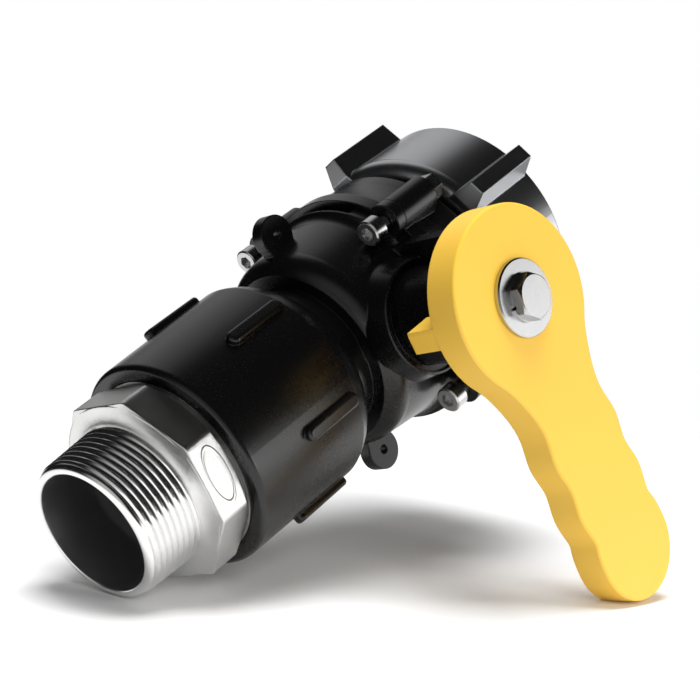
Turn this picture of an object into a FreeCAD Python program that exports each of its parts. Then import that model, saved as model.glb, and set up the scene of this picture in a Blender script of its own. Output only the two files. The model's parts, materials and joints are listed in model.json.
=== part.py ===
import FreeCAD, Part
import math
import os

# Ball valve for an intermediate bulk container: a swivel nut on the tank side, a two-piece body with
# a quarter-turn ball, and a ribbed adapter nut that holds a stainless pipe nipple on the outlet.
# Millimetres. +X runs along the flow to the outlet, +Y along the stem to the lever, +Z up.
# The origin is the centre of the inlet gasket's outer face, where the tank's outlet seats. The
# lever is drawn closed, hanging down, and opens by a quarter turn from -Z to +X. Lengths along X
# below are counted from the ball's centre, and place() moves each piece by INLET_TO_BALL.

V = FreeCAD.Vector
X_AXIS = V(1, 0, 0)
Y_AXIS = V(0, 1, 0)
Z_AXIS = V(0, 0, 1)

# Ball, seats and flow bore
INLET_TO_BALL = 57.0
PORT_R = 18.5
SEAT_STEP = 0.2
SEAT_WIDTH = 4.7
SEAT_LIP = 1.7
SEAT_SIDE_GAP = 0.1
SEAT_GAP = 0.3
BALL_LAND = 3.6
BALL_ROOM = 0.6
SEAT_INNER_R = PORT_R + SEAT_STEP
SEAT_OUTER_R = SEAT_INNER_R + SEAT_WIDTH
BALL_R = SEAT_OUTER_R + BALL_LAND
SEAT_FRONT_STEP = 0.6
SEAT_RING_SECTION_R = 0.85

# Two-piece body
PARTING_X = -13.0
FRONT_FLANGE_R = 38.6
FRONT_FLANGE_THICK = 4.0
BARREL_WALL = 7.2
BARREL_TAPER = 1.6
BARREL_FRONT_R = BALL_R + BALL_ROOM + BARREL_WALL
BARREL_BACK_R = BARREL_FRONT_R + BARREL_TAPER
BARREL_FRONT_X = 12.0
RIM_X = 19.0
RIM_DROP = 3.8
RIM_EDGE = 0.7
FLANGE_FILLET = 4.5
FLANGE_FILLET_RISE = 0.7
RIM_R = BARREL_FRONT_R - RIM_DROP
SPIGOT_WALL = 2.5
SPIGOT_THREAD_R = SEAT_OUTER_R + SEAT_SIDE_GAP + SPIGOT_WALL
SPIGOT_END_X = 61.0
ENTRY_CHAMFER = 1.0
ARCH_R = 40.6
ARCH_THICK = 5.0
ARCH_TAPER = 12.0
REAR_BARREL_R = 38.5
REAR_BARREL_END_X = -34.8
REAR_SHOULDER_X = -38.6
REAR_SHOULDER_R = 33.0
SLOT_HALF_ANGLE = 24.0
SLOT_DEPTH = 3.0
SLOT_FLOOR_R = FRONT_FLANGE_R - SLOT_DEPTH
BODY_RING_SECTION_R = 1.0
BODY_RING_WALL = 2.9
BODY_RING_R = BALL_R + BALL_ROOM + BODY_RING_WALL + BODY_RING_SECTION_R

# Body screws
SCREW_Y = 29.5
SCREW_Z = 30.0
COLUMN_R = 5.75
COLUMN_END_X = -30.0
SCREW_SHANK_R = 2.5
SCREW_HOLE_GAP = 0.2
SCREW_HEAD_R = 4.25
SCREW_HEAD_LENGTH = 5.0
SCREW_HEAD_BACK_X = -5.0
SCREW_SOCKET_ACROSS = 4.0
SCREW_SOCKET_DEPTH = 2.6
SCREW_END_X = -36.6
NUT_ACROSS = 8.0
NUT_THICK = 5.0
NUT_BORE_GAP = 0.05
NUT_SEAT_ROOM = 0.5

# Seal ears on the barrel
EAR_X = 9.5
EAR_Z = 39.7
EAR_R = 6.6
EAR_THICK = 4.4
EAR_HOLE_R = 1.5
EAR_FOOT_HALF = 4.8

# Stem tower on the outlet body
TOWER_R = 20.2
TOWER_FOOT_Y = 29.0
TOWER_RIM_Y = 39.0
TOWER_RIM_R = 18.6
TOWER_RIM_ROUND = 0.6
TOWER_RIM_WIDTH = 1.0
TOWER_GROOVE_DEPTH = 1.2
TOWER_NECK_R = 15.5
LEVER_BACK_Y = 66.9
TOWER_TOP_GAP = 4.9
TOWER_TOP_Y = LEVER_BACK_Y - TOWER_TOP_GAP
TOWER_FLOOR_WALL = 6.9
TOWER_REAR_FLOOR_R = BALL_R + BALL_ROOM + TOWER_FLOOR_WALL
BODY_JOINT_GAP = 0.1

# Stem
STEM_R = 8.5
STEM_RUNNING_GAP = 0.08
STEM_FLANGE_R = 11.0
STEM_FLANGE_ROOM = 0.3
STEM_FLANGE_Y = BALL_R + 1.5
STEM_FLANGE_THICK = 3.5
STEM_WASHER_THICK = 1.0
STEM_SQUARE = 11.8
STEM_TOP_BELOW_FACE = 0.8
STEM_RING_SECTION_R = 0.9
STEM_RING_YS = (42.0, 50.0)
STEM_RING_FIT = 0.04
TONGUE_THICK = 7.8
TONGUE_WIDTH = 18.0
TONGUE_GAP = 0.1
SLOT_WALL = 3.8
SLOT_FLOOR_Y = PORT_R + SLOT_WALL

# Lever
LEVER_THICK = 10.8
LEVER_HUB_R = 28.8
LEVER_EDGE_R = 0.8
LEVER_COLLAR_R = 12.0
LEVER_COLLAR_GAP = 0.4
LEVER_WALL = 3.0
LEVER_FACE_THICK = 3.2
LEVER_HUB_CORE_R = 14.5
LEVER_RIB = 1.8
GRIP_LEAVE_ANGLE = 37.0
GRIP_NECK_IN = 4.7
GRIP_NECK_DOWN = 9.2
GRIP_FIRST_Z = -40.0
GRIP_WAVE_PITCH = 18.2
GRIP_WAVES = 3
GRIP_VALLEY_HALF = 15.7
GRIP_CREST_HALF = 17.1
GRIP_END_R = 17.2
GRIP_END_Z = -87.0
STOP_LUG_X = (18.0, 28.3)
STOP_LUG_Z = (-0.5, 6.5)
STOP_LUG_REACH = 10.6
STOP_GAP = 0.3
STOP_BLOCK = 6.0
STOP_BLOCK_OUT = 22.0
STOP_BLOCK_OVERLAP = 5.0

# Lever bolt
BOLT_R = 4.0
BOLT_HEAD_ACROSS = 13.0
BOLT_HEAD_THICK = 3.2
BOLT_HEAD_TURN = 12.0
BOLT_REACH = 22.0
BOLT_THREAD_GAP = 0.05
WASHER_R = 12.0
WASHER_THICK = 1.8
WASHER_BORE_GAP = 0.3
LOCK_WASHER_R = 7.7
LOCK_WASHER_THICK = 0.8
LOCK_WASHER_SPLIT = 1.0

# Swivel nut on the inlet
SWIVEL_FRONT_X = -39.2
SWIVEL_MOUTH_X = -72.0
SWIVEL_R = 40.0
SWIVEL_MOUTH_R = 39.6
SWIVEL_FRONT_R = 36.6
SWIVEL_BEVEL = 6.2
SWIVEL_THREAD_R = 30.15
SWIVEL_RELIEF = 0.8
SWIVEL_LIP_THICK = 7.6
SWIVEL_GAP = 0.3
SWIVEL_MOUTH_CHAMFER = 1.4
WING_ANGLES = (30.0, 110.0, 210.0, 290.0)
WING_TIP_R = 47.4
WING_BACK_STEP = 2.0
WING_FRONT_STEP = 0.4
WING_FOOT_HALF = 4.7
WING_TIP_HALF = 2.8
WING_FRONT_SLOPE = 2.2
TAIL_WALL = 3.0
TAIL_R = SEAT_OUTER_R + SEAT_SIDE_GAP + TAIL_WALL
CLIP_R = 29.3
CLIP_THICK = 1.8
CLIP_GROOVE_DEPTH = 1.5
CLIP_OPENING = 8.0
GASKET_THICK = 3.0
GASKET_INNER_R = 19.8
GASKET_RIM_GAP = 0.5

# Adapter nut and nipple
ADAPTER_BACK_X = 26.7
ADAPTER_BACK_R = 27.4
ADAPTER_ROUND_X = 37.6
ADAPTER_R = 35.5
ADAPTER_FRONT_R = 34.7
ADAPTER_FRONT_X = 85.0
ADAPTER_FACE_R = 33.4
ADAPTER_FRONT_ROUND = 2.0
ADAPTER_THREAD_GAP = 0.3
ADAPTER_RIBS = 6
ADAPTER_RIB_FIRST = 50.0
ADAPTER_RIB_R = 37.6
ADAPTER_RIB_HALF = 2.4
ADAPTER_RIB_X = (38.6, 62.4)
ADAPTER_RIB_ROUND = 1.2
NIPPLE_SEAT_GAP = 0.1
NIPPLE_TAIL_R = 24.5
NIPPLE_KEY_X = (70.0, 74.0)
NIPPLE_KEY_R = 27.0
NIPPLE_COLLAR_R = 29.5
NIPPLE_COLLAR_THICK = 3.7
NIPPLE_NECK_R = 28.7
NIPPLE_NECK_GROOVE_DEPTH = 1.2
NIPPLE_NECK_GROOVE_WIDTH = 0.6
NIPPLE_RING_X = 77.5
NIPPLE_RING_SECTION_R = 0.9
NIPPLE_FLATS_X = (86.3, 98.3)
NIPPLE_FLATS_ACROSS = 58.4
NIPPLE_FLATS_CHAMFER = 1.9
NIPPLE_CONE_R = 28.4
NIPPLE_CONE_LENGTH = 3.6
NIPPLE_THREAD_R = 23.3
NIPPLE_RIM_R = 21.6
NIPPLE_END_X = 120.3
NIPPLE_CHAMFER = 1.8
NIPPLE_BORE_R = 19.6


def place(shape):
    """Move a piece from ball-centred lengths to the part's own origin."""
    moved = shape.copy()
    moved.translate(V(INLET_TO_BALL, 0, 0))
    return moved


def point_x(along, radius):
    return V(along, radius, 0)


def point_y(along, radius):
    return V(radius, along, 0)


def closed_wire(steps, to_point):
    """Join profile steps: a pair is a corner, and a pair of pairs is an arc's middle and end."""
    start = to_point(*steps[0])
    here = start
    edges = []
    for step in steps[1:]:
        if isinstance(step[0], tuple):
            middle = to_point(*step[0])
            end = to_point(*step[1])
            edges.append(Part.Arc(here, middle, end).toShape())
        else:
            end = to_point(*step)
            edges.append(Part.LineSegment(here, end).toShape())
        here = end
    edges.append(Part.LineSegment(here, start).toShape())
    return Part.Wire(edges)


def turned_x(steps):
    """Turn a profile of (x, radius) steps about the flow axis."""
    return Part.Face(closed_wire(steps, point_x)).revolve(V(0, 0, 0), X_AXIS, 360)


def turned_y(steps):
    """Turn a profile of (y, radius) steps about the stem axis."""
    return Part.Face(closed_wire(steps, point_y)).revolve(V(0, 0, 0), Y_AXIS, 360)


def rod_x(radius, x0, x1, y=0.0, z=0.0):
    return Part.makeCylinder(radius, x1 - x0, V(x0, y, z), X_AXIS)


def rod_y(radius, y0, y1, x=0.0, z=0.0):
    return Part.makeCylinder(radius, y1 - y0, V(x, y0, z), Y_AXIS)


def block(x0, x1, y0, y1, z0, z1):
    return Part.makeBox(x1 - x0, y1 - y0, z1 - z0, V(x0, y0, z0))


def o_ring(ring_r, section_r, centre, axis):
    """An O-ring with an eight-sided section, whose flats touch its groove."""
    corner_r = section_r / math.cos(math.pi / 8)
    corners = []
    for i in range(8):
        angle = 2 * math.pi * (i + 0.5) / 8
        corners.append(V(ring_r + corner_r * math.cos(angle), 0, corner_r * math.sin(angle)))
    ring = Part.Face(Part.makePolygon(corners + corners[:1])).revolve(V(0, 0, 0), Z_AXIS, 360)
    ring.Placement = FreeCAD.Placement(centre, FreeCAD.Rotation(Z_AXIS, axis))
    return ring


def prism(across, sides, start, length, axis):
    """A regular prism measured across its flats, with a flat facing up and its end at start."""
    corner_r = across / 2 / math.cos(math.pi / sides)
    corners = []
    for i in range(sides):
        angle = 2 * math.pi * (i + 0.5) / sides
        corners.append(V(corner_r * math.cos(angle), corner_r * math.sin(angle), 0))
    shape = Part.Face(Part.makePolygon(corners + corners[:1])).extrude(V(0, 0, length))
    shape.Placement = FreeCAD.Placement(start, FreeCAD.Rotation(Z_AXIS, axis))
    return shape


def turned_about_flow(shape, angle):
    copy = shape.copy()
    copy.rotate(V(0, 0, 0), X_AXIS, angle)
    return copy


def screw_places():
    return [(sy * SCREW_Y, sz * SCREW_Z) for sy in (-1, 1) for sz in (-1, 1)]


def seat_back_x():
    contact_x = math.sqrt((BALL_R + SEAT_GAP) ** 2 - SEAT_INNER_R ** 2)
    return contact_x + SEAT_LIP


def seat_front_x():
    return math.sqrt((BALL_R + SEAT_GAP) ** 2 - SEAT_OUTER_R ** 2) + SEAT_FRONT_STEP


def pocket_depth_x():
    return seat_back_x() + 2 * SEAT_RING_SECTION_R


def lever_face_y():
    return LEVER_BACK_Y + LEVER_THICK


def stem_washer_y():
    return STEM_FLANGE_Y + STEM_FLANGE_THICK


def stem_room():
    """The stepped hole that the stem runs in, open to the ball's chamber."""
    shelf_y = stem_washer_y() + STEM_WASHER_THICK
    wide_r = STEM_FLANGE_R + STEM_FLANGE_ROOM
    wide = rod_y(wide_r, 0, shelf_y)
    narrow = rod_y(STEM_R + STEM_RUNNING_GAP, shelf_y - 1, TOWER_TOP_Y + 1)
    return wide.fuse(narrow)


def column(x0, x1, y, z):
    """A round screw column with a foot that reaches in to the barrel."""
    out = math.hypot(y, z)
    foot = block(x0, x1, out - 2 * COLUMN_R, out, -COLUMN_R, COLUMN_R)
    foot = turned_about_flow(foot, math.degrees(math.atan2(z, y)))
    return rod_x(COLUMN_R, x0, x1, y, z).fuse(foot)


def nut_seat(y, z):
    """The round room that a spanner socket needs beside a body nut."""
    return rod_x(NUT_ACROSS / math.sqrt(3) + NUT_SEAT_ROOM, SWIVEL_FRONT_X, COLUMN_END_X, y, z)


def screw_holes(x0, x1):
    holes = [rod_x(SCREW_SHANK_R + SCREW_HOLE_GAP, x0, x1, y, z) for y, z in screw_places()]
    return Part.makeCompound(holes)


def stem_tower():
    groove_r = TOWER_RIM_R - TOWER_RIM_WIDTH
    groove_y = TOWER_RIM_Y - TOWER_GROOVE_DEPTH
    rim_round = (
        (TOWER_RIM_Y - TOWER_RIM_ROUND * 0.3, TOWER_RIM_R - TOWER_RIM_ROUND * 0.3),
        (TOWER_RIM_Y, TOWER_RIM_R - TOWER_RIM_ROUND),
    )
    return turned_y([
        (0, 0),
        (0, TOWER_R),
        (TOWER_FOOT_Y, TOWER_R),
        (TOWER_RIM_Y - TOWER_RIM_ROUND, TOWER_RIM_R),
        rim_round,
        (TOWER_RIM_Y, groove_r),
        (groove_y, groove_r),
        (groove_y, TOWER_NECK_R),
        (TOWER_TOP_Y, TOWER_NECK_R),
        (TOWER_TOP_Y, 0),
    ])


def stop_blocks():
    """Two shoulders on the tower that the lever's lug meets when closed and when open."""
    y0 = LEVER_BACK_Y - STOP_LUG_REACH - STOP_BLOCK_OVERLAP
    y1 = LEVER_BACK_Y - STOP_LUG_REACH + STOP_BLOCK_OVERLAP
    inner = TOWER_NECK_R - 2
    closed_z = STOP_LUG_Z[0] - STOP_GAP
    open_x = -STOP_LUG_Z[1] - STOP_GAP
    closed = block(inner, STOP_BLOCK_OUT, y0, y1, closed_z - STOP_BLOCK, closed_z)
    opened = block(open_x - STOP_BLOCK, open_x, BALL_R + 3, y1, inner, STOP_BLOCK_OUT)
    return closed.fuse(opened)


def seal_ear(side):
    """A flat ear with a cross hole for a seal wire, on a foot that widens into the barrel."""
    half = EAR_THICK / 2
    disc = rod_y(EAR_R, -half, half, EAR_X, side * EAR_Z)
    foot_z = BARREL_FRONT_R - 2
    corners = [
        V(EAR_X - EAR_R, -half, side * EAR_Z),
        V(EAR_X - EAR_FOOT_HALF, -half, side * foot_z),
        V(EAR_X + EAR_FOOT_HALF, -half, side * foot_z),
        V(EAR_X + EAR_R, -half, side * EAR_Z),
    ]
    foot = Part.Face(Part.makePolygon(corners + corners[:1])).extrude(V(0, EAR_THICK, 0))
    return disc.fuse(foot)


def ear_holes():
    half = EAR_THICK / 2 + 1
    return Part.makeCompound([rod_y(EAR_HOLE_R, -half, half, EAR_X, s * EAR_Z) for s in (-1, 1)])


def parting_slot(side):
    """A shallow slot across the front flange, between two screw columns."""
    front_x = PARTING_X + FRONT_FLANGE_THICK
    profile = Part.makePolygon([
        V(PARTING_X, SLOT_FLOOR_R, 0),
        V(front_x - 1, SLOT_FLOOR_R, 0),
        V(front_x - 1, ARCH_R, 0),
        V(PARTING_X, ARCH_R, 0),
        V(PARTING_X, SLOT_FLOOR_R, 0),
    ])
    sector = Part.Face(profile).revolve(V(0, 0, 0), X_AXIS, 2 * SLOT_HALF_ANGLE)
    return turned_about_flow(sector, side * 90 - SLOT_HALF_ANGLE)


def outlet_body():
    flange_x = PARTING_X + FRONT_FLANGE_THICK
    shoulder_x = BARREL_FRONT_X + (RIM_X - BARREL_FRONT_X) * 0.66
    shoulder = ((shoulder_x, BARREL_FRONT_R - RIM_DROP * 0.32), (RIM_X, RIM_R))
    fillet = (
        (flange_x + FLANGE_FILLET * 0.36, BARREL_BACK_R + FLANGE_FILLET_RISE),
        (flange_x + FLANGE_FILLET, BARREL_BACK_R),
    )
    outside = turned_x([
        (PARTING_X, 0),
        (PARTING_X, FRONT_FLANGE_R),
        (flange_x, FRONT_FLANGE_R),
        fillet,
        (BARREL_FRONT_X, BARREL_FRONT_R),
        shoulder,
        (RIM_X + RIM_EDGE, RIM_R - RIM_EDGE),
        (RIM_X + RIM_EDGE, SPIGOT_THREAD_R),
        (SPIGOT_END_X - ENTRY_CHAMFER, SPIGOT_THREAD_R),
        (SPIGOT_END_X, SPIGOT_THREAD_R - ENTRY_CHAMFER),
        (SPIGOT_END_X, 0),
    ])
    tower = stem_tower().cut(rod_x(TOWER_REAR_FLOOR_R, PARTING_X - TOWER_R, PARTING_X))
    body = outside.fuse([tower, stop_blocks(), seal_ear(1), seal_ear(-1)])
    body = body.fuse([column(PARTING_X, flange_x, y, z) for y, z in screw_places()])
    chamber_r = BALL_R + BALL_ROOM
    pocket_r = SEAT_OUTER_R + SEAT_SIDE_GAP
    chamber = turned_x([
        (PARTING_X - 1, 0),
        (PARTING_X - 1, chamber_r),
        (seat_front_x() - SEAT_FRONT_STEP, chamber_r),
        (seat_front_x() - SEAT_FRONT_STEP, pocket_r),
        (pocket_depth_x(), pocket_r),
        (pocket_depth_x(), PORT_R),
        (SPIGOT_END_X + 1, PORT_R),
        (SPIGOT_END_X + 1, 0),
    ])
    body = body.cut([chamber, stem_room(), screw_holes(PARTING_X - 1, flange_x + 1)])
    return body.cut([ear_holes(), parting_slot(1), parting_slot(-1)])


def inlet_body():
    arch_x = PARTING_X - ARCH_THICK
    clip_x = clip_front_x()
    clip_r = TAIL_R - CLIP_GROOVE_DEPTH
    dome = ((REAR_SHOULDER_X + 1.5, REAR_BARREL_R - 2.0), (REAR_SHOULDER_X, REAR_SHOULDER_R))
    outside = turned_x([
        (PARTING_X, 0),
        (PARTING_X, ARCH_R),
        (arch_x, ARCH_R),
        ((arch_x - ARCH_TAPER / 2, REAR_BARREL_R + 0.6), (arch_x - ARCH_TAPER, REAR_BARREL_R)),
        (REAR_BARREL_END_X, REAR_BARREL_R),
        dome,
        (REAR_SHOULDER_X, TAIL_R),
        (clip_x, TAIL_R),
        (clip_x, clip_r),
        (clip_x - CLIP_THICK, clip_r),
        (clip_x - CLIP_THICK, TAIL_R),
        (tail_end_x(), TAIL_R),
        (tail_end_x(), 0),
    ])
    body = outside.fuse([column(COLUMN_END_X, PARTING_X, y, z) for y, z in screw_places()])
    chamber_r = BALL_R + BALL_ROOM
    pocket_r = SEAT_OUTER_R + SEAT_SIDE_GAP
    chamber = turned_x([
        (PARTING_X + 1, 0),
        (PARTING_X + 1, chamber_r),
        (-seat_front_x() + SEAT_FRONT_STEP, chamber_r),
        (-seat_front_x() + SEAT_FRONT_STEP, pocket_r),
        (-pocket_depth_x(), pocket_r),
        (-pocket_depth_x(), PORT_R),
        (tail_end_x() - 1, PORT_R),
        (tail_end_x() - 1, 0),
    ])
    tower_room = rod_y(TOWER_R + BODY_JOINT_GAP, BALL_R, TOWER_TOP_Y)
    tower_room = tower_room.cut(rod_x(TOWER_REAR_FLOOR_R - BODY_JOINT_GAP, tail_end_x(), TOWER_R))
    groove_x = PARTING_X - 2 * BODY_RING_SECTION_R
    groove = rod_x(BODY_RING_R + BODY_RING_SECTION_R, groove_x, PARTING_X + 1)
    groove = groove.cut(rod_x(BODY_RING_R - BODY_RING_SECTION_R, groove_x - 1, PARTING_X + 2))
    seats = [nut_seat(y, z) for y, z in screw_places()]
    body = body.cut([chamber, tower_room, screw_holes(COLUMN_END_X - 1, PARTING_X + 1)])
    return body.cut([groove] + seats)


def tail_end_x():
    """The end of the inlet body's tail, which carries the gasket."""
    return GASKET_THICK - INLET_TO_BALL


def clip_front_x():
    """The retaining clip's front face, just behind the swivel nut's inner lip."""
    return SWIVEL_FRONT_X - SWIVEL_LIP_THICK - SWIVEL_GAP


def seat(side):
    """A seat ring with a ball-shaped face, for the outlet side (+1) or the inlet side (-1)."""
    ring = turned_x([
        (seat_front_x(), SEAT_INNER_R),
        (seat_front_x(), SEAT_OUTER_R),
        (seat_back_x(), SEAT_OUTER_R),
        (seat_back_x(), SEAT_INNER_R),
    ])
    ring = ring.cut(Part.makeSphere(BALL_R + SEAT_GAP))
    return ring if side > 0 else turned_half(ring)


def turned_half(shape):
    copy = shape.copy()
    copy.rotate(V(0, 0, 0), Y_AXIS, 180)
    return copy


def seat_ring(side):
    """The O-ring that presses a seat against the ball."""
    x = seat_back_x() + SEAT_RING_SECTION_R
    ring_r = SEAT_OUTER_R - SEAT_RING_SECTION_R - SEAT_SIDE_GAP
    return o_ring(ring_r, SEAT_RING_SECTION_R, V(side * x, 0, 0), X_AXIS)


def body_ring():
    return o_ring(BODY_RING_R, BODY_RING_SECTION_R, V(PARTING_X - BODY_RING_SECTION_R, 0, 0), X_AXIS)


def ball():
    """The ball, with its port standing along Z while the valve is closed."""
    port = Part.makeCylinder(PORT_R, 2 * BALL_R, V(0, 0, -BALL_R), Z_AXIS)
    half = TONGUE_THICK / 2 + TONGUE_GAP
    slot = block(-BALL_R, BALL_R, SLOT_FLOOR_Y - TONGUE_GAP, BALL_R, -half, half)
    return Part.makeSphere(BALL_R).cut([port, slot])


def stem():
    bore_y = lever_face_y() - BOLT_REACH - 2
    top_y = lever_face_y() - STEM_TOP_BELOW_FACE
    profile = [
        (STEM_FLANGE_Y, 0),
        (STEM_FLANGE_Y, STEM_FLANGE_R),
        (stem_washer_y(), STEM_FLANGE_R),
        (stem_washer_y(), STEM_R),
    ]
    groove_r = STEM_R - 2 * STEM_RING_SECTION_R + STEM_RING_FIT
    for ring_y in STEM_RING_YS:
        near = ring_y - STEM_RING_SECTION_R
        far = ring_y + STEM_RING_SECTION_R
        profile += [(near, STEM_R), (near, groove_r), (far, groove_r), (far, STEM_R)]
    profile += [(TOWER_TOP_Y, STEM_R), (TOWER_TOP_Y, 0)]
    square = block(-STEM_SQUARE / 2, STEM_SQUARE / 2, TOWER_TOP_Y - 1, top_y, -STEM_SQUARE / 2, STEM_SQUARE / 2)
    tongue = block(
        -TONGUE_WIDTH / 2, TONGUE_WIDTH / 2, SLOT_FLOOR_Y, STEM_FLANGE_Y, -TONGUE_THICK / 2, TONGUE_THICK / 2)
    solid = turned_y(profile).fuse([square, tongue])
    return solid.cut(rod_y(BOLT_R + BOLT_THREAD_GAP, bore_y, top_y + 1))


def stem_washer():
    """The slippery thrust washer between the stem's flange and the tower."""
    y0 = stem_washer_y()
    ring = rod_y(STEM_FLANGE_R, y0, y0 + STEM_WASHER_THICK)
    return ring.cut(rod_y(STEM_R + STEM_RUNNING_GAP, y0 - 1, y0 + STEM_WASHER_THICK + 1))


def stem_rings():
    ring_r = STEM_R - STEM_RING_SECTION_R + STEM_RING_FIT
    rings = [o_ring(ring_r, STEM_RING_SECTION_R, V(0, y, 0), Y_AXIS) for y in STEM_RING_YS]
    return Part.makeCompound(rings)


def grip_edge(side):
    """One wavy edge of the grip, from the hub's circle down to the rounded end."""
    leave = math.radians(GRIP_LEAVE_ANGLE)
    leave_half = LEVER_HUB_R * math.cos(leave)
    leave_z = -LEVER_HUB_R * math.sin(leave)
    points = [
        V(side * leave_half, LEVER_BACK_Y, leave_z),
        V(side * (leave_half - GRIP_NECK_IN), LEVER_BACK_Y, leave_z - GRIP_NECK_DOWN),
    ]
    for i in range(2 * GRIP_WAVES):
        half = GRIP_CREST_HALF if i % 2 else GRIP_VALLEY_HALF
        points.append(V(side * half, LEVER_BACK_Y, GRIP_FIRST_Z - i * GRIP_WAVE_PITCH / 2))
    points[-1] = V(side * GRIP_END_R, LEVER_BACK_Y, GRIP_END_Z)
    leaving = V(-side * math.sin(leave), 0, -math.cos(leave))
    curve = Part.BSplineCurve()
    curve.interpolate(Points=points, InitialTangent=leaving, FinalTangent=-Z_AXIS)
    return curve, points[0], points[-1]


def lever_outline():
    right, right_top, right_end = grip_edge(1)
    left, left_top, left_end = grip_edge(-1)
    crown = Part.Arc(left_top, V(0, LEVER_BACK_Y, LEVER_HUB_R), right_top)
    toe = Part.Arc(right_end, V(0, LEVER_BACK_Y, GRIP_END_Z - GRIP_END_R), left_end)
    return Part.Wire([crown.toShape(), right.toShape(), toe.toShape(), left.toShape()])


def hub_pockets(y1):
    """Pockets round the hub's core, between ribs that run out to the rim."""
    ring = rod_y(LEVER_HUB_R - LEVER_WALL, LEVER_BACK_Y, y1).cut(rod_y(LEVER_HUB_CORE_R, LEVER_BACK_Y, y1))
    ribs = []
    for angle in (0, 45, 90, 135):
        rib = block(-LEVER_HUB_R, LEVER_HUB_R, LEVER_BACK_Y, y1, -LEVER_RIB / 2, LEVER_RIB / 2)
        rib.rotate(V(0, 0, 0), Y_AXIS, angle)
        ribs.append(rib)
    lug_foot = block(
        STOP_LUG_X[0], STOP_LUG_X[1], LEVER_BACK_Y, y1, STOP_LUG_Z[0], STOP_LUG_Z[1])
    return ring.cut(ribs + [lug_foot])


def grip_pockets(y1):
    """Two columns of pockets down the grip, one pair to each half wave."""
    rows = 2 * GRIP_WAVES
    top_z = -LEVER_HUB_R - LEVER_RIB
    bottom_z = GRIP_END_Z - GRIP_END_R / 2
    step = (top_z - bottom_z) / rows
    half = GRIP_VALLEY_HALF - LEVER_WALL
    cells = []
    for i in range(rows):
        z1 = top_z - i * step
        z0 = z1 - step + LEVER_RIB
        cells.append(block(LEVER_RIB / 2, half, LEVER_BACK_Y, y1, z0, z1))
        cells.append(block(-half, -LEVER_RIB / 2, LEVER_BACK_Y, y1, z0, z1))
    return cells


def handle():
    front_y = lever_face_y()
    core_y = front_y - LEVER_FACE_THICK
    plate = Part.Face(lever_outline()).extrude(V(0, LEVER_THICK, 0))
    front_edges = [e for e in plate.Edges if e.BoundBox.YMin > front_y - 0.01]
    plate = plate.makeFillet(LEVER_EDGE_R, front_edges)
    plate = plate.cut([hub_pockets(core_y)] + grip_pockets(core_y))
    collar = rod_y(LEVER_COLLAR_R, TOWER_TOP_Y + LEVER_COLLAR_GAP, LEVER_BACK_Y + 1)
    lug = block(
        STOP_LUG_X[0], STOP_LUG_X[1], LEVER_BACK_Y - STOP_LUG_REACH, LEVER_BACK_Y + 1,
        STOP_LUG_Z[0], STOP_LUG_Z[1])
    lug = lug.common(rod_y(LEVER_HUB_R, LEVER_BACK_Y - STOP_LUG_REACH, front_y))
    half = STEM_SQUARE / 2 + STEM_RUNNING_GAP
    socket = block(-half, half, TOWER_TOP_Y, front_y + 1, -half, half)
    return plate.fuse([collar, lug]).cut(socket)


def handle_washer():
    y0 = lever_face_y()
    disc = rod_y(WASHER_R, y0, y0 + WASHER_THICK)
    rim = [e for e in disc.Edges if e.BoundBox.YMin > y0 + WASHER_THICK - 0.01 and len(e.Vertexes) == 1]
    disc = disc.makeChamfer(WASHER_THICK / 4, rim)
    return disc.cut(rod_y(BOLT_R + WASHER_BORE_GAP, y0 - 1, y0 + WASHER_THICK + 1))


def lock_washer():
    y0 = lever_face_y() + WASHER_THICK
    ring = rod_y(LOCK_WASHER_R, y0, y0 + LOCK_WASHER_THICK)
    ring = ring.cut(rod_y(BOLT_R + WASHER_BORE_GAP, y0 - 1, y0 + LOCK_WASHER_THICK + 1))
    half = LOCK_WASHER_SPLIT / 2
    split = block(0, LOCK_WASHER_R + 1, y0 - 1, y0 + LOCK_WASHER_THICK + 1, -half, half)
    return ring.cut(split)


def handle_bolt():
    y0 = lever_face_y() + WASHER_THICK + LOCK_WASHER_THICK
    y1 = y0 + BOLT_HEAD_THICK
    head = prism(BOLT_HEAD_ACROSS, 6, V(0, y0, 0), BOLT_HEAD_THICK, Y_AXIS)
    head.rotate(V(0, 0, 0), Y_AXIS, -BOLT_HEAD_TURN)
    corner_r = BOLT_HEAD_ACROSS / math.sqrt(3)
    crown = turned_y([
        (y0, 0),
        (y0, corner_r + 0.1),
        (y1 - 1.0, corner_r + 0.1),
        (y1, BOLT_HEAD_ACROSS / 2 - 0.2),
        (y1, 0),
    ])
    return head.common(crown).fuse(rod_y(BOLT_R, lever_face_y() - BOLT_REACH, y0 + 1))


def body_screw(y, z):
    front_x = SCREW_HEAD_BACK_X + SCREW_HEAD_LENGTH
    head = rod_x(SCREW_HEAD_R, SCREW_HEAD_BACK_X, front_x, y, z)
    rim = [e for e in head.Edges if e.BoundBox.XMin > front_x - 0.01 and len(e.Vertexes) == 1]
    head = head.makeChamfer(0.5, rim)
    socket = prism(SCREW_SOCKET_ACROSS, 6, V(front_x - SCREW_SOCKET_DEPTH, y, z), SCREW_SOCKET_DEPTH + 1, X_AXIS)
    return head.fuse(rod_x(SCREW_SHANK_R, SCREW_END_X, SCREW_HEAD_BACK_X + 1, y, z)).cut(socket)


def body_screws():
    return Part.makeCompound([body_screw(y, z) for y, z in screw_places()])


def body_nut(y, z):
    x0 = COLUMN_END_X - NUT_THICK
    nut = prism(NUT_ACROSS, 6, V(x0, y, z), NUT_THICK, X_AXIS)
    return nut.cut(rod_x(SCREW_SHANK_R + NUT_BORE_GAP, x0 - 1, COLUMN_END_X + 1, y, z))


def body_nuts():
    return Part.makeCompound([body_nut(y, z) for y, z in screw_places()])


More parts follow.
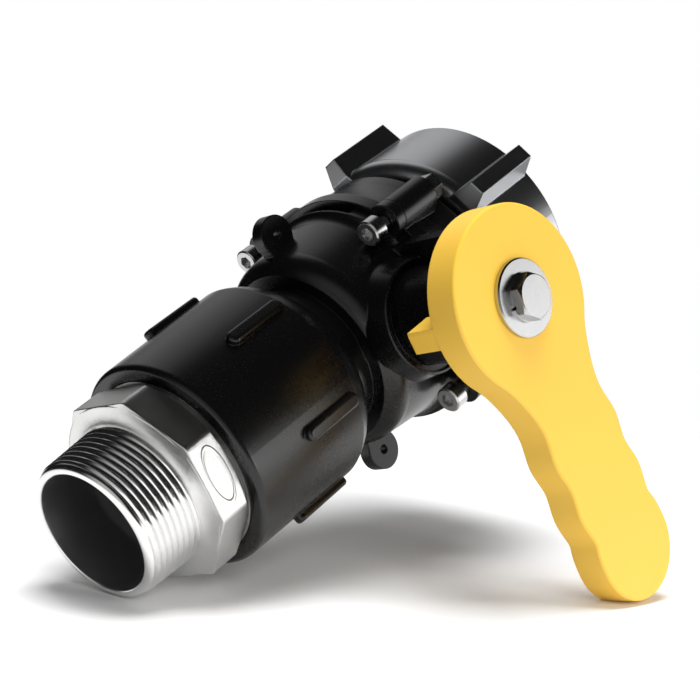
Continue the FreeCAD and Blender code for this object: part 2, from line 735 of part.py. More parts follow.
def wing(angle):
    """A tapered lug along the swivel nut, with a sloping front end."""
    foot_r = SWIVEL_THREAD_R + 2
    back_x = SWIVEL_MOUTH_X + WING_BACK_STEP
    slope = (WING_FOOT_HALF - WING_TIP_HALF) / (WING_TIP_R - SWIVEL_R)
    buried_half = WING_FOOT_HALF + slope * (SWIVEL_R - foot_r)
    corners = [
        V(back_x, foot_r, -buried_half),
        V(back_x, WING_TIP_R, -WING_TIP_HALF),
        V(back_x, WING_TIP_R, WING_TIP_HALF),
        V(back_x, foot_r, buried_half),
    ]
    length = SWIVEL_FRONT_X - WING_FRONT_STEP - back_x
    bar = Part.Face(Part.makePolygon(corners + corners[:1])).extrude(V(length, 0, 0))
    front_x = back_x + length
    shave = Part.makePolygon([
        V(front_x, SWIVEL_R, -WING_TIP_R),
        V(front_x - WING_FRONT_SLOPE, WING_TIP_R + 1, -WING_TIP_R),
        V(front_x + 1, WING_TIP_R + 1, -WING_TIP_R),
        V(front_x, SWIVEL_R, -WING_TIP_R),
    ])
    bar = bar.cut(Part.Face(shave).extrude(V(0, 0, 2 * WING_TIP_R)))
    return turned_about_flow(bar, angle)


def coupling_nut():
    mouth_x = SWIVEL_MOUTH_X
    lip_x = SWIVEL_FRONT_X - SWIVEL_LIP_THICK
    relief_r = SWIVEL_THREAD_R + SWIVEL_RELIEF
    cham = SWIVEL_MOUTH_CHAMFER
    bulge = ((SWIVEL_FRONT_X - 1.4, SWIVEL_R - 1.0), (SWIVEL_FRONT_X - SWIVEL_BEVEL, SWIVEL_R))
    shell = turned_x([
        (SWIVEL_FRONT_X, 0),
        (SWIVEL_FRONT_X, SWIVEL_FRONT_R),
        bulge,
        (mouth_x + 0.8, SWIVEL_MOUTH_R),
        (mouth_x, SWIVEL_MOUTH_R - 0.8),
        (mouth_x, 0),
    ])
    bore = turned_x([
        (SWIVEL_FRONT_X + 1, 0),
        (SWIVEL_FRONT_X + 1, TAIL_R + SWIVEL_GAP),
        (lip_x, TAIL_R + SWIVEL_GAP),
        (lip_x, relief_r),
        (-INLET_TO_BALL, relief_r),
        (-INLET_TO_BALL, SWIVEL_THREAD_R),
        (mouth_x + cham, SWIVEL_THREAD_R),
        (mouth_x, SWIVEL_THREAD_R + cham),
        (mouth_x - 1, SWIVEL_THREAD_R + cham),
        (mouth_x - 1, 0),
    ])
    return shell.fuse([wing(a) for a in WING_ANGLES]).cut(bore)


def retaining_clip():
    """The spring clip on the inlet body's tail that keeps the swivel nut on."""
    x0 = clip_front_x() - CLIP_THICK
    ring = rod_x(CLIP_R, x0, x0 + CLIP_THICK)
    ring = ring.cut(rod_x(TAIL_R - CLIP_GROOVE_DEPTH, x0 - 1, x0 + CLIP_THICK + 1))
    half = CLIP_OPENING / 2
    return ring.cut(block(x0 - 1, x0 + CLIP_THICK + 1, -half, half, -CLIP_R - 1, 0))


def flat_gasket(x0, outer_r):
    ring = rod_x(outer_r, x0, x0 + GASKET_THICK)
    return ring.cut(rod_x(GASKET_INNER_R, x0 - 1, x0 + GASKET_THICK + 1))


def inlet_gasket():
    return flat_gasket(-INLET_TO_BALL, SWIVEL_THREAD_R - GASKET_RIM_GAP)


def outlet_gasket():
    return flat_gasket(SPIGOT_END_X, SPIGOT_THREAD_R + ADAPTER_THREAD_GAP - GASKET_RIM_GAP)


def adapter_shoulder_x():
    return SPIGOT_END_X + GASKET_THICK


def grip_rib(angle):
    """A round-ended rib on the adapter nut."""
    x0, x1 = ADAPTER_RIB_X
    half = ADAPTER_RIB_HALF
    low_r = ADAPTER_R - 3
    high_r = ADAPTER_RIB_R
    wire = Part.Wire([
        Part.LineSegment(V(x0 + half, low_r, half), V(x1 - half, low_r, half)).toShape(),
        Part.Arc(V(x1 - half, low_r, half), V(x1, low_r, 0), V(x1 - half, low_r, -half)).toShape(),
        Part.LineSegment(V(x1 - half, low_r, -half), V(x0 + half, low_r, -half)).toShape(),
        Part.Arc(V(x0 + half, low_r, -half), V(x0, low_r, 0), V(x0 + half, low_r, half)).toShape(),
    ])
    rib = Part.Face(wire).extrude(V(0, high_r - low_r, 0))
    rib = rib.makeFillet(ADAPTER_RIB_ROUND, [e for e in rib.Edges if e.BoundBox.YMin > high_r - 0.01])
    return turned_about_flow(rib, angle)


def adapter_nut():
    face_x = ADAPTER_FRONT_X
    shoulder_x = adapter_shoulder_x()
    thread_r = SPIGOT_THREAD_R + ADAPTER_THREAD_GAP
    tail_r = NIPPLE_TAIL_R + NIPPLE_SEAT_GAP
    key_r = NIPPLE_KEY_R + NIPPLE_SEAT_GAP
    collar_r = NIPPLE_COLLAR_R + NIPPLE_SEAT_GAP
    collar_x = nipple_collar_x() - NIPPLE_SEAT_GAP
    middle_x = (ADAPTER_BACK_X + ADAPTER_ROUND_X) / 2
    middle_r = (ADAPTER_BACK_R + ADAPTER_R) / 2
    back_round = ((middle_x - 0.7, middle_r + 1.0), (ADAPTER_ROUND_X, ADAPTER_R))
    front_round = (
        (face_x - ADAPTER_FRONT_ROUND * 0.3, ADAPTER_FRONT_R - 0.55),
        (face_x, ADAPTER_FACE_R),
    )
    shell = turned_x([
        (ADAPTER_BACK_X, 0),
        (ADAPTER_BACK_X, ADAPTER_BACK_R),
        back_round,
        (face_x - ADAPTER_FRONT_ROUND, ADAPTER_FRONT_R),
        front_round,
        (face_x, 0),
    ])
    step = 360 / ADAPTER_RIBS
    shell = shell.fuse([grip_rib(ADAPTER_RIB_FIRST + i * step) for i in range(ADAPTER_RIBS)])
    bore = turned_x([
        (ADAPTER_BACK_X - 1, 0),
        (ADAPTER_BACK_X - 1, thread_r),
        (shoulder_x, thread_r),
        (shoulder_x, tail_r),
        (NIPPLE_KEY_X[0], tail_r),
        (NIPPLE_KEY_X[0], key_r),
        (NIPPLE_KEY_X[1], key_r),
        (NIPPLE_KEY_X[1], tail_r),
        (collar_x, tail_r),
        (collar_x, collar_r),
        (face_x + 1, collar_r),
        (face_x + 1, 0),
    ])
    return shell.cut(bore)


def nipple_collar_x():
    """The back of the nipple's collar, which lies just under the adapter nut's front face."""
    return ADAPTER_FRONT_X - NIPPLE_COLLAR_THICK - 0.3


def nipple():
    flats_x0, flats_x1 = NIPPLE_FLATS_X
    cone_x = flats_x1 + NIPPLE_CONE_LENGTH
    collar_x = nipple_collar_x()
    collar_front_x = collar_x + NIPPLE_COLLAR_THICK
    ring_r = NIPPLE_TAIL_R - 2 * NIPPLE_RING_SECTION_R + NIPPLE_SEAT_GAP
    groove_r = NIPPLE_NECK_R - NIPPLE_NECK_GROOVE_DEPTH
    groove_end_x = collar_front_x + NIPPLE_NECK_GROOVE_WIDTH
    hollow = ((flats_x1 + 1.0, NIPPLE_THREAD_R + 2.2), (cone_x, NIPPLE_THREAD_R))
    turned = turned_x([
        (adapter_shoulder_x(), NIPPLE_BORE_R),
        (adapter_shoulder_x(), NIPPLE_TAIL_R),
        (NIPPLE_KEY_X[0] + NIPPLE_SEAT_GAP, NIPPLE_TAIL_R),
        (NIPPLE_KEY_X[0] + NIPPLE_SEAT_GAP, NIPPLE_KEY_R),
        (NIPPLE_KEY_X[1] - NIPPLE_SEAT_GAP, NIPPLE_KEY_R),
        (NIPPLE_KEY_X[1] - NIPPLE_SEAT_GAP, NIPPLE_TAIL_R),
        (NIPPLE_RING_X - NIPPLE_RING_SECTION_R, NIPPLE_TAIL_R),
        (NIPPLE_RING_X - NIPPLE_RING_SECTION_R, ring_r),
        (NIPPLE_RING_X + NIPPLE_RING_SECTION_R, ring_r),
        (NIPPLE_RING_X + NIPPLE_RING_SECTION_R, NIPPLE_TAIL_R),
        (collar_x, NIPPLE_TAIL_R),
        (collar_x, NIPPLE_COLLAR_R),
        (collar_front_x, NIPPLE_COLLAR_R),
        (collar_front_x, groove_r),
        (groove_end_x, groove_r),
        (groove_end_x, NIPPLE_NECK_R),
        (flats_x0 + 1, NIPPLE_NECK_R),
        (flats_x1, NIPPLE_CONE_R),
        hollow,
        (NIPPLE_END_X - NIPPLE_CHAMFER, NIPPLE_THREAD_R),
        (NIPPLE_END_X, NIPPLE_RIM_R),
        (NIPPLE_END_X, NIPPLE_BORE_R),
    ])
    flats = prism(NIPPLE_FLATS_ACROSS, 8, V(flats_x0, 0, 0), flats_x1 - flats_x0, X_AXIS)
    corner_r = NIPPLE_FLATS_ACROSS / 2 / math.cos(math.pi / 8)
    ring = turned_x([
        (flats_x0, NIPPLE_BORE_R),
        (flats_x0, NIPPLE_FLATS_ACROSS / 2 - 0.2),
        (flats_x0 + NIPPLE_FLATS_CHAMFER, corner_r + 0.1),
        (flats_x1, corner_r + 0.1),
        (flats_x1, NIPPLE_BORE_R),
    ])
    return turned.fuse(flats.common(ring))


def nipple_ring():
    ring_r = NIPPLE_TAIL_R - NIPPLE_RING_SECTION_R + NIPPLE_SEAT_GAP
    return o_ring(ring_r, NIPPLE_RING_SECTION_R, V(NIPPLE_RING_X, 0, 0), X_AXIS)


PIECES = {
    "outlet_body": outlet_body,
    "inlet_body": inlet_body,
    "ball": ball,
    "outlet_seat": lambda: seat(1),
    "inlet_seat": lambda: seat(-1),
    "outlet_seat_o_ring": lambda: seat_ring(1),
    "inlet_seat_o_ring": lambda: seat_ring(-1),
    "body_o_ring": body_ring,
    "stem": stem,
    "stem_washer": stem_washer,
    "stem_o_rings": stem_rings,
    "handle": handle,
    "handle_washer": handle_washer,
    "handle_lock_washer": lock_washer,
    "handle_bolt": handle_bolt,
    "body_screws": body_screws,
    "body_nuts": body_nuts,
    "coupling_nut": coupling_nut,
    "nut_retaining_ring": retaining_clip,
    "inlet_gasket": inlet_gasket,
    "outlet_gasket": outlet_gasket,
    "adapter_nut": adapter_nut,
    "nipple": nipple,
    "nipple_o_ring": nipple_ring,
}

os.makedirs("parts", exist_ok=True)
for name, make in PIECES.items():
    place(make()).exportStep("parts/" + name + ".step")
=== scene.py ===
import json
import math

import bpy
import numpy as np
from mathutils import Matrix, Vector


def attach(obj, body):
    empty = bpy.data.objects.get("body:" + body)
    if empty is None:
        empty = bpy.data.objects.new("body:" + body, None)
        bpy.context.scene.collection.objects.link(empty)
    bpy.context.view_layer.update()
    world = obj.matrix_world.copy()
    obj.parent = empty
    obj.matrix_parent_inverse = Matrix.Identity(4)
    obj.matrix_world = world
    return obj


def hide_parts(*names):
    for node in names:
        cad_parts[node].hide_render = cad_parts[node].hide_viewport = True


# Ball valve for a bulk container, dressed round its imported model. Metres, in the model's own frame:
# +X along the flow to the outlet, +Y along the stem to the lever, +Z up. Sizes that are easier to read
# in millimetres are written so and multiplied by MM.

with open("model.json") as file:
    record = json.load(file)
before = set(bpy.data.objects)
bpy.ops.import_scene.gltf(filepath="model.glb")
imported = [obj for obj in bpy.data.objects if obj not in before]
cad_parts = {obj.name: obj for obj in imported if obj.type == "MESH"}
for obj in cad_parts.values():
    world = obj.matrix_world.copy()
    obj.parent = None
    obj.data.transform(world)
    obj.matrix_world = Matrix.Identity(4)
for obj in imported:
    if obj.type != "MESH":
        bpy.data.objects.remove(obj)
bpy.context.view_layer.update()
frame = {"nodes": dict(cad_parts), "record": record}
MM = 0.001
NODES = frame["nodes"]

# ---------------------------------------------------------------- camera

CAMERA_PLACE = Vector((0.451385, 0.449868, 0.155781))
CAMERA_TURN = Matrix((
    (-0.5982518, -0.4892120, 0.6346389),
    (0.6769119, 0.1152971, 0.7269779),
    (-0.4288183, 0.8645104, 0.2621767),
))
# Lens and sensor width are in millimetres
CAMERA_LENS = 97.70
CAMERA_SENSOR = 36.0

# The view's own directions, in the model's frame
RIGHT, UP, BACK = (CAMERA_TURN.col[i].copy() for i in range(3))


def make_camera():
    data = bpy.data.cameras.new("view")
    data.lens = CAMERA_LENS
    data.sensor_width = CAMERA_SENSOR
    camera = bpy.data.objects.new("view", data)
    camera.matrix_world = Matrix.Translation(CAMERA_PLACE) @ CAMERA_TURN.to_4x4()
    bpy.context.scene.collection.objects.link(camera)
    bpy.context.scene.camera = camera


make_camera()


# ---------------------------------------------------------------- sizes, in millimetres

# The stem's axis. Places along the flow below are measured from it.
STEM_X = 57.0

BORE_R, TAIL_R, COLLAR_R = 19.6, 24.5, 29.5
OCTAGON_ACROSS, OCTAGON_BLUNT = 58.4, 0.15
CHAMFER_START, CHAMFER_END, CHAMFER_STEP = 86.2, 88.3, 0.2
CHAMFER_R, CHAMFER_RISE = 28.9, 1.45
FLATS_START, FLATS_END, FLATS_ROWS = 88.6, 97.9, 20
THREAD_START, THREAD_END, THREAD_PITCH = 100.2, 118.3, 2.309
THREAD_CREST, THREAD_TAPER, THREAD_DEPTH = 23.8, 0.045, 1.3
THREAD_TURN = 0.17
THREAD_CREST_SHARE, THREAD_ROOT_SHARE = 0.12, 0.93
THREAD_FADE_LEAD, THREAD_FADE = 0.6, 2.0
THREAD_FIRST_ROW, THREAD_STEP = 100.25, 0.165
NIPPLE_COLUMNS = 256
SHARP_DEGREES = 28

# Turned stretches of the nipple's profile: place along the flow and radius
TAIL = ((64.0, BORE_R), (64.0, TAIL_R), (72.0, TAIL_R), (81.0, TAIL_R))
COLLAR = ((81.05, 29.3), (81.3, COLLAR_R), (84.4, COLLAR_R), (84.65, 29.35), (84.7, 29.0))
GROOVE = ((84.75, 27.6), (85.2, 27.5), (85.3, 27.6), (85.33, 28.4), (85.5, 28.7), (86.1, 28.75))
SHOULDER = ((98.42, 29.4), (98.5, 28.6), (98.62, 27.7), (98.8, 26.8),
            (99.05, 25.95), (99.4, 25.1), (99.75, 24.45), (100.05, 24.05))
LIP = ((118.45, 22.35), (118.7, 22.5), (119.2, 22.35), (119.6, 22.0), (119.95, 21.5),
       (120.2, 20.95), (120.3, 20.5), (120.25, 20.05), (120.0, 19.75), (119.6, BORE_R))
BORE = ((110.0, BORE_R), (95.0, BORE_R), (75.0, BORE_R))

# The octagon's outer edge: place along the flow and how far it lies inside the full octagon
OCTAGON_EDGE = ((98.12, 0.05), (98.26, 0.22), (98.32, 0.6), (98.36, 1.2))

# The finish turns from cast to machined between these places along the flow
MACHINED_FROM, MACHINED_TO = 99.5, 101.5
# The bore's painted shade, a darker colour, and its higher roughness set in between these distances from the
# axis, inwards
BORE_FADE_FROM, BORE_FADE_TO = BORE_R + 0.3, BORE_R + 0.1
# The raised oval outline on the flat that faces +Y
OVAL_X, OVAL_HALF_X, OVAL_HALF_Z, OVAL_ABOVE_Y = 92.2, 3.7, 8.8, 28.5
OVAL_HEIGHT = 0.16


# ---------------------------------------------------------------- shader maths

class Shade:
    """One node tree of a material or world."""

    def __init__(self, tree):
        self.tree = tree

    def node(self, kind, settings=None, output=0, **inputs):
        """Add a node of this type with its settings, then fill its sockets by name or number."""
        made = self.tree.nodes.new("ShaderNode" + kind)
        for key, value in (settings or {}).items():
            setattr(made, key, value)
        for key, value in inputs.items():
            name = int(key[1:]) if key[0] == "_" else key.replace("_", " ")
            self.put(made.inputs[name], value)
        return Val(self, made.outputs[output] if made.outputs else None)

    def put(self, socket, value):
        """Link a value to a socket, or set a constant there. A colour gets its alpha."""
        if isinstance(value, Val):
            self.tree.links.new(value.socket, socket)
        elif isinstance(value, tuple) and len(value) == 3 and len(getattr(socket, "default_value", ())) == 4:
            socket.default_value = (*value, 1.0)
        else:
            socket.default_value = value

    def maths(self, operation, *values):
        filled = {"_%d" % i: value for i, value in enumerate(values)}
        return self.node("Math", {"operation": operation}, **filled)

    def mix_colour(self, share, low, high):
        """Sockets 6 and 7 of a Mix node are its two colours, and its output 2 is their mix."""
        return self.node("Mix", {"data_type": "RGBA"}, 2, _0=share, _6=low, _7=high)


class Val:
    """A number, colour or vector socket. Sums and products of numbers become Math nodes."""

    def __init__(self, shade, socket):
        self.shade = shade
        self.socket = socket

    def __add__(self, other):
        return self.shade.maths("ADD", self, other)

    def __sub__(self, other):
        return self.shade.maths("SUBTRACT", self, other)

    def __rsub__(self, other):
        return self.shade.maths("SUBTRACT", other, self)

    def __mul__(self, other):
        return self.shade.maths("MULTIPLY", self, other)

    __radd__ = __add__
    __rmul__ = __mul__

    def part(self, axis):
        """One axis of a vector: X, Y or Z."""
        return self.shade.node("SeparateXYZ", None, axis, Vector=self)


def new_material(name):
    material = bpy.data.materials.new(name)
    material.use_nodes = True
    tree = material.node_tree
    tree.nodes.clear()
    return material, Shade(tree)


def finish_material(shade, colour, roughness, metallic, normal):
    shader = shade.node("BsdfPrincipled", Base_Color=colour, Roughness=roughness, Metallic=metallic,
                        Normal=normal)
    shade.node("OutputMaterial", Surface=shader)


def place_of(shade):
    """The place on the surface, in the piece's own frame."""
    return shade.node("TexCoord", None, "Object")


def noise(shade, scale, detail, roughness=0.55):
    return shade.node("TexNoise", Vector=place_of(shade), Scale=scale, Detail=detail,
                      Roughness=roughness)


def fade(shade, value, start, end, low=0.0, high=1.0, kind="SMOOTHSTEP"):
    """Goes from low to high as the value goes from start to end, and stays there beyond them."""
    return shade.node("MapRange", {"interpolation_type": kind}, 0,
                      _0=value, _1=start, _2=end, _3=low, _4=high)


BEVEL_SAMPLES = 6


def rounded_normal(shade, radius):
    """The normal of the surface with its edges rounded by this radius."""
    return shade.node("Bevel", {"samples": BEVEL_SAMPLES}, Radius=radius)


def bump(shade, height, distance, strength, under):
    return shade.node("Bump", Height=height, Distance=distance, Strength=strength, Normal=under)


# ---------------------------------------------------------------- materials

def moulded_plastic(name, colour, rough, edge, tone=0.12, metallic=0.0):
    """Moulded material: faint cloudy tone, fine grain in the gloss, and edges rounded by this many
    millimetres. The colour varies by the share named tone, both ways."""
    swing, cloud_share = 0.12, 0.6
    grain = 0.00002
    material, shade = new_material(name)
    cloud = noise(shade, scale=40.0, detail=2.0)
    fine = noise(shade, scale=900.0, detail=2.0)
    dark = tuple(c * (1.0 - tone) for c in colour)
    light = tuple(min(1.0, c * (1.0 + tone)) for c in colour)
    tint = shade.mix_colour(cloud, dark, light)
    gloss = rough - swing / 2 + swing * (cloud * cloud_share + fine * (1.0 - cloud_share))
    normal = bump(shade, fine, distance=grain, strength=0.5, under=rounded_normal(shade, edge * MM))
    finish_material(shade, tint, gloss, metallic, normal)
    return material


def plain_metal(name, colour, rough, edge):
    """Even metal: slightly cloudy, with a very fine grain and edges rounded by this many millimetres."""
    swing = 0.1
    grain = 0.00001
    darkest = 0.86
    material, shade = new_material(name)
    cloud = noise(shade, scale=120.0, detail=3.0)
    fine = noise(shade, scale=2200.0, detail=2.0)
    tint = shade.mix_colour(cloud, tuple(c * darkest for c in colour), colour)
    gloss = rough - swing / 2 + swing * fine
    normal = bump(shade, fine, distance=grain, strength=0.5, under=rounded_normal(shade, edge * MM))
    finish_material(shade, tint, gloss, 1.0, normal)
    return material


def distance_from_axis(shade, place):
    across = shade.node("CombineXYZ", _1=place.part("Y"), _2=place.part("Z"))
    return shade.node("VectorMath", {"operation": "LENGTH"}, "Value", _0=across)


def oval_line(shade, place):
    """One on the outline of the oval and nothing away from it."""
    gone, full = 0.11, 0.03
    oval_x = (place.part("X") - (STEM_X + OVAL_X) * MM) * (1.0 / (OVAL_HALF_X * MM))
    oval_z = place.part("Z") * (1.0 / (OVAL_HALF_Z * MM))
    oval = shade.maths("SQRT", oval_x * oval_x + oval_z * oval_z)
    line = fade(shade, shade.maths("ABSOLUTE", oval - 1.0), gone, full)
    return line * shade.maths("GREATER_THAN", place.part("Y"), OVAL_ABOVE_Y * MM)


def cast_steel(name):
    """Cast and turned stainless steel: pitted where it is cast, smooth on the thread beyond the shoulder,
    rougher in the bore and darkened there with painted shade, with a raised oval outline on the flat that
    faces +Y."""
    edge = 0.25
    fine_depth, pit_depth = 0.06 * MM, 0.12 * MM
    dark_cast, light_cast = (0.6, 0.6, 0.595), (0.82, 0.82, 0.81)
    # The second grey on the next line is painted shade that darkens the inside of the bore
    machined_grey, bore_painted_shade = (0.78, 0.78, 0.775), (0.32, 0.32, 0.32)
    base_rough, cast_swing, machined_drop, bore_rise = 0.24, 0.24, 0.1, 0.3
    material, shade = new_material(name)
    here = place_of(shade)
    machined = fade(shade, here.part("X"), (STEM_X + MACHINED_FROM) * MM, (STEM_X + MACHINED_TO) * MM)
    out = distance_from_axis(shade, here)
    # Mask of the bore, which gets painted shade, more roughness and no cast pits
    inside = fade(shade, out, BORE_FADE_FROM * MM, BORE_FADE_TO * MM, kind="LINEAR")
    cloud = noise(shade, scale=90.0, detail=4.0)
    fine = noise(shade, scale=1300.0, detail=4.0, roughness=0.75)
    pits = noise(shade, scale=420.0, detail=3.0, roughness=0.6)
    cast = shade.mix_colour(cloud, dark_cast, light_cast)
    turned = shade.mix_colour(machined, cast, machined_grey)
    # Painted shade: the bore's colour is darkened to a dark grey
    tint = shade.mix_colour(inside, turned, bore_painted_shade)
    gloss = base_rough + cast_swing * fine * (1.0 - machined)
    gloss = gloss - machined_drop * machined + bore_rise * inside
    rough_skin = (fine * fine_depth + pits * pit_depth) * (1.0 - machined) * (1.0 - inside)
    height = rough_skin + oval_line(shade, here) * (OVAL_HEIGHT * MM)
    normal = bump(shade, height, distance=1.0, strength=0.8, under=rounded_normal(shade, edge * MM))
    finish_material(shade, tint, gloss, 1.0, normal)
    return material


# Plastics, rubber and plain metals take a name, a colour, a roughness and the rounding of their edges
# in millimetres. Cast steel has its own values.
MATERIALS = {
    "black_plastic": moulded_plastic("satin_black_plastic", (0.0022, 0.0022, 0.0024), 0.28, 0.7),
    "grey_plastic": moulded_plastic("satin_grey_plastic", (0.55, 0.555, 0.57), 0.3, 0.7,
                                    tone=0.04, metallic=1.0),
    "yellow_plastic": moulded_plastic("yellow_plastic", (0.93, 0.57, 0.07), 0.42, 0.35, tone=0.03),
    "stainless_cast": cast_steel("cast_stainless_steel"),
    "stainless_fastener": plain_metal("stainless_fastener_steel", (0.58, 0.58, 0.58), 0.24, 0.15),
    "spring_steel": plain_metal("spring_steel", (0.42, 0.42, 0.43), 0.3, 0.1),
    "ball_plastic": moulded_plastic("polished_ball_plastic", (0.03, 0.03, 0.032), 0.22, 0.2),
    "white_seat": moulded_plastic("white_seat_plastic", (0.82, 0.82, 0.8), 0.4, 0.1),
    "black_rubber": moulded_plastic("black_rubber", (0.014, 0.014, 0.014), 0.6, 0.1),
}


def dress_nodes():
    """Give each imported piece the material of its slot."""
    for entry in frame["record"]["subparts"]:
        node = NODES[entry["node"]]
        material = MATERIALS[entry["material_slot"]]
        if not node.data.materials:
            node.data.materials.append(material)
        for i in range(len(node.data.materials)):
            node.data.materials[i] = material


dress_nodes()


# ---------------------------------------------------------------- nipple

def octagon_radius(angle):
    """Distance to a regular octagon with a flat facing +Y: half the width over flats divided by the
    cosine of the angle from the nearest flat's middle. The corners are blunted a little."""
    eighth = math.pi / 8
    off = (angle + eighth) % (2 * eighth) - eighth
    corner = OCTAGON_ACROSS / 2 / math.cos(eighth) - OCTAGON_BLUNT
    return np.minimum(OCTAGON_ACROSS / 2 / np.cos(off), corner)


def thread_radius(x, angle):
    """Tapered pipe thread: a crest line that falls by the taper for each millimetre, less the depth of
    a V with flat crests and roots, which repeats once a pitch along x and once a turn round the axis.
    The depth grows from nothing at the thread's start."""
    phase = ((x - THREAD_START) / THREAD_PITCH - angle / (2 * math.pi) + THREAD_TURN) % 1.0
    flank = np.clip(np.abs(phase - 0.5) * 2.0, THREAD_CREST_SHARE, THREAD_ROOT_SHARE)
    groove = (flank - THREAD_CREST_SHARE) / (THREAD_ROOT_SHARE - THREAD_CREST_SHARE)
    grown = np.clip((x - THREAD_START + THREAD_FADE_LEAD) / THREAD_FADE, 0.0, 1.0)
    crest = THREAD_CREST - THREAD_TAPER * (x - THREAD_START)
    return crest - THREAD_DEPTH * groove * grown


def turned_rings(profile, angles):
    return [(x, np.full_like(angles, radius)) for x, radius in profile]


def nipple_rings(angles):
    """The closed surface as rings, from the tail's end along the outside to the lip and back down the
    bore. Each is its place along the flow and its radius at each angle."""
    octagon = octagon_radius(angles)
    rings = turned_rings(TAIL + COLLAR + GROOVE, angles)
    for x in np.arange(CHAMFER_START, CHAMFER_END, CHAMFER_STEP):
        rings.append((x, np.minimum(octagon, CHAMFER_R + (x - CHAMFER_START) * CHAMFER_RISE)))
    rings += [(x, octagon) for x in np.linspace(FLATS_START, FLATS_END, FLATS_ROWS)]
    rings += [(x, octagon - inset) for x, inset in OCTAGON_EDGE]
    rings += turned_rings(SHOULDER, angles)
    for x in np.arange(THREAD_FIRST_ROW, THREAD_END, THREAD_STEP):
        rings.append((x, thread_radius(x, angles)))
    return rings + turned_rings(LIP + BORE, angles)


def ring_tube(name, rings, angles):
    """A closed tube of quads through these rings round the flow's axis, back to the first ring."""
    points = [(np.full_like(angles, STEM_X + x), radius * np.cos(angles), radius * np.sin(angles))
              for x, radius in rings]
    points = np.concatenate([np.stack(loop, axis=1) for loop in points]) * MM
    rows, columns = len(rings), len(angles)
    row, column = np.meshgrid(np.arange(rows), np.arange(columns), indexing="ij")
    after_row = (row + 1) % rows
    after_column = (column + 1) % columns
    corners = (row * columns + column, row * columns + after_column,
               after_row * columns + after_column, after_row * columns + column)
    faces = np.stack(corners, axis=-1).reshape(-1, 4)
    mesh = bpy.data.meshes.new(name)
    mesh.from_pydata(points.tolist(), [], faces.tolist())
    mesh.shade_smooth()
    mesh.set_sharp_from_angle(angle=math.radians(SHARP_DEGREES))
    made = bpy.data.objects.new(name, mesh)
    bpy.context.scene.collection.objects.link(made)
    return made


def make_nipple():
    """The nipple with its thread, in place of the plain one."""
    angles = np.arange(NIPPLE_COLUMNS) * 2.0 * math.pi / NIPPLE_COLUMNS
    nipple = ring_tube("threaded_nipple", nipple_rings(angles), angles)
    nipple.data.materials.append(MATERIALS["stainless_cast"])
    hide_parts("nipple")
    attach(nipple, "adapter")


make_nipple()


# ---------------------------------------------------------------- floor

FLOOR_TILT = 0.135
FLOOR_R, FLOOR_SIDES = 0.9, 96
FLOOR_DROP = 0.0002
FLOOR_FADE_FROM, FLOOR_FADE_TO = 0.2, 0.42
FLOOR_WHITE = (0.95, 0.95, 0.95)

# The round ends that the valve rests on: the nipple's lip and the lever's toe
LIP_MIDDLE, LIP_R = Vector((STEM_X + 120.3, 0.0, 0.0)) * MM, 22.0 * MM
TOE_MIDDLE, TOE_R = Vector((STEM_X, 72.0, -87.0)) * MM, 17.2 * MM


def lowest_on_circle(middle, radius, first, second):
    """The point of a circle in the plane of two unit vectors that lies lowest in the view."""
    turn = math.atan2(-UP.dot(second), -UP.dot(first))
    return middle + radius * (math.cos(turn) * first + math.sin(turn) * second)


def floor_frame():
    """The floor's middle and its upward direction. It goes through both contacts and leans towards the
    view by its tilt."""
    lip = lowest_on_circle(LIP_MIDDLE, LIP_R, Vector((0, 1, 0)), Vector((0, 0, 1)))
    toe = lowest_on_circle(TOE_MIDDLE, TOE_R, Vector((1, 0, 0)), Vector((0, 0, 1)))
    line = toe - lip
    lean = UP + FLOOR_TILT * BACK
    upward = (lean - RIGHT * (lean.dot(line) / RIGHT.dot(line))).normalized()
    return (lip + toe) / 2, upward


def make_floor(middle, upward):
    """A round sheet of white floor that fades out with the distance from its middle."""
    across = (RIGHT - upward * RIGHT.dot(upward)).normalized()
    deep = upward.cross(across)
    turns = np.linspace(0.0, 2.0 * math.pi, FLOOR_SIDES, endpoint=False)
    outward = [math.cos(t) * across + math.sin(t) * deep for t in turns]
    rim = [middle + FLOOR_R * way - upward * FLOOR_DROP for way in outward]
    mesh = bpy.data.meshes.new("floor")
    mesh.from_pydata([tuple(p) for p in rim], [], [tuple(range(len(rim)))])
    floor = bpy.data.objects.new("floor", mesh)
    bpy.context.scene.collection.objects.link(floor)
    material, shade = new_material("floor_white")
    away = shade.node("VectorMath", {"operation": "DISTANCE"}, "Value",
                      _0=place_of(shade), _1=tuple(middle))
    alpha = fade(shade, away, FLOOR_FADE_FROM, FLOOR_FADE_TO, 1.0, 0.0)
    shader = shade.node("BsdfPrincipled", Base_Color=FLOOR_WHITE, Roughness=1.0,
                        Specular_IOR_Level=0.0, Alpha=alpha)
    shade.node("OutputMaterial", Surface=shader)
    mesh.materials.append(material)


FLOOR_MIDDLE, FLOOR_UP = floor_frame()
make_floor(FLOOR_MIDDLE, FLOOR_UP)


# ---------------------------------------------------------------- light

# The middle of the valve, which the lamps face
CENTRE = Vector((0.08, 0.0, 0.0))
# Brightness of the room between its soft boxes, of the light that isn't mirrored, and of what is seen
ROOM_GLOW, FILL, BACKDROP = 0.012, 0.2, 1.0


def area_lamp(name, toward, distance, size, power, in_reflections=False):
    """A square softbox that looks at the middle of the valve from this direction."""
    data = bpy.data.lights.new(name, "AREA")
    data.size = size
    data.energy = power
    lamp = bpy.data.objects.new(name, data)
    lamp.location = CENTRE + toward.normalized() * distance
    lamp.rotation_mode = "QUATERNION"
    lamp.rotation_quaternion = (-toward).to_track_quat("-Z", "Y")
    lamp.visible_glossy = in_reflections
    bpy.context.scene.collection.objects.link(lamp)


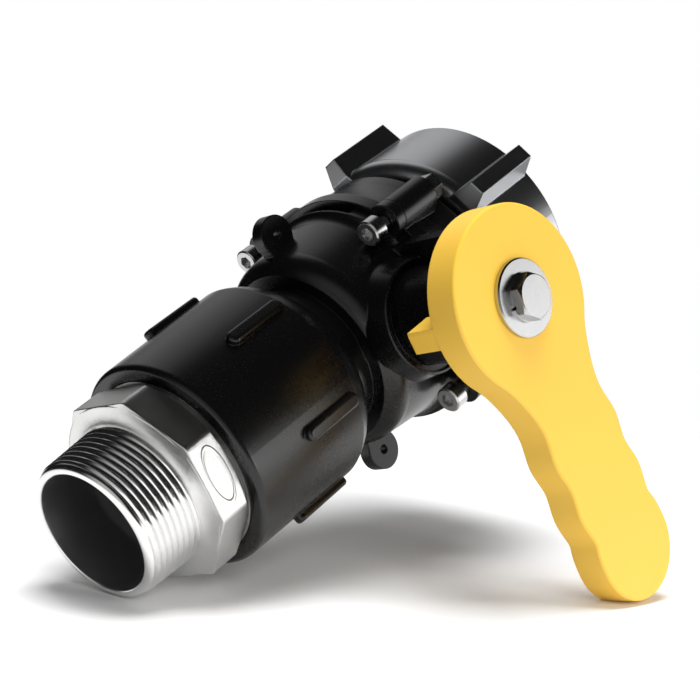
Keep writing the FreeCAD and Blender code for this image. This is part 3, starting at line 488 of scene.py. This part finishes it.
def flow_cone(turn):
    """A direction that a round surface along the flow mirrors into the camera, by its turn in degrees
    about +X from +Y."""
    angle = math.radians(turn)
    reach = math.hypot(BACK.y, BACK.z)
    return (-BACK.x, reach * math.cos(angle), reach * math.sin(angle))


# Soft boxes of the mirrored room: direction, brightness, and how many degrees from the direction the
# box is still full and is gone
SOFT_BOXES = (
    (flow_cone(-42), 2.3, 4, 25),
    (flow_cone(130), 0.62, 6, 34),
    (flow_cone(197), 1.2, 8, 27),
    (flow_cone(-118), 0.3, 10, 40),
    ((0.63, -0.65, -0.42), 1.2, 12, 34),
    ((0.9, 0.3, 0.35), 0.5, 15, 45),
)


def background(shade, strength):
    return shade.node("Background", Color=(1.0, 1.0, 1.0), Strength=strength)


def make_world():
    """White where it is seen, a dark room with soft boxes where it is mirrored, and even elsewhere."""
    world = bpy.data.worlds.new("studio")
    world.use_nodes = True
    world.cycles.sampling_method = "NONE"
    tree = world.node_tree
    tree.nodes.clear()
    shade = Shade(tree)
    looking = shade.node("TexCoord", None, "Generated")
    room = ROOM_GLOW
    for toward, bright, full, gone in SOFT_BOXES:
        facing = shade.node("VectorMath", {"operation": "DOT_PRODUCT"}, "Value",
                            _0=looking, _1=tuple(Vector(toward).normalized()))
        box = fade(shade, facing, math.cos(math.radians(gone)), math.cos(math.radians(full)), 0.0, bright)
        room = box + room
    mirrored = background(shade, room)
    fill = background(shade, FILL)
    white = background(shade, BACKDROP)
    glossy = shade.node("LightPath", None, "Is Glossy Ray")
    seen = shade.node("LightPath", None, "Is Camera Ray")
    rest = shade.node("MixShader", _0=glossy, _1=fill, _2=mirrored)
    mixed = shade.node("MixShader", _0=seen, _1=rest, _2=white)
    shade.node("OutputWorld", Surface=mixed)
    bpy.context.scene.world = world


make_world()
area_lamp("overhead", FLOOR_UP, distance=1.0, size=0.6, power=12.5)
area_lamp("lever_light", Vector((0.08, 0.96, 0.25)), distance=1.0, size=0.6, power=4.2)
area_lamp("sheen", Vector((-0.3, 0.88, -0.36)), distance=0.8, size=0.22, power=0.8, in_reflections=True)

bpy.context.scene.view_settings.view_transform = "Standard"
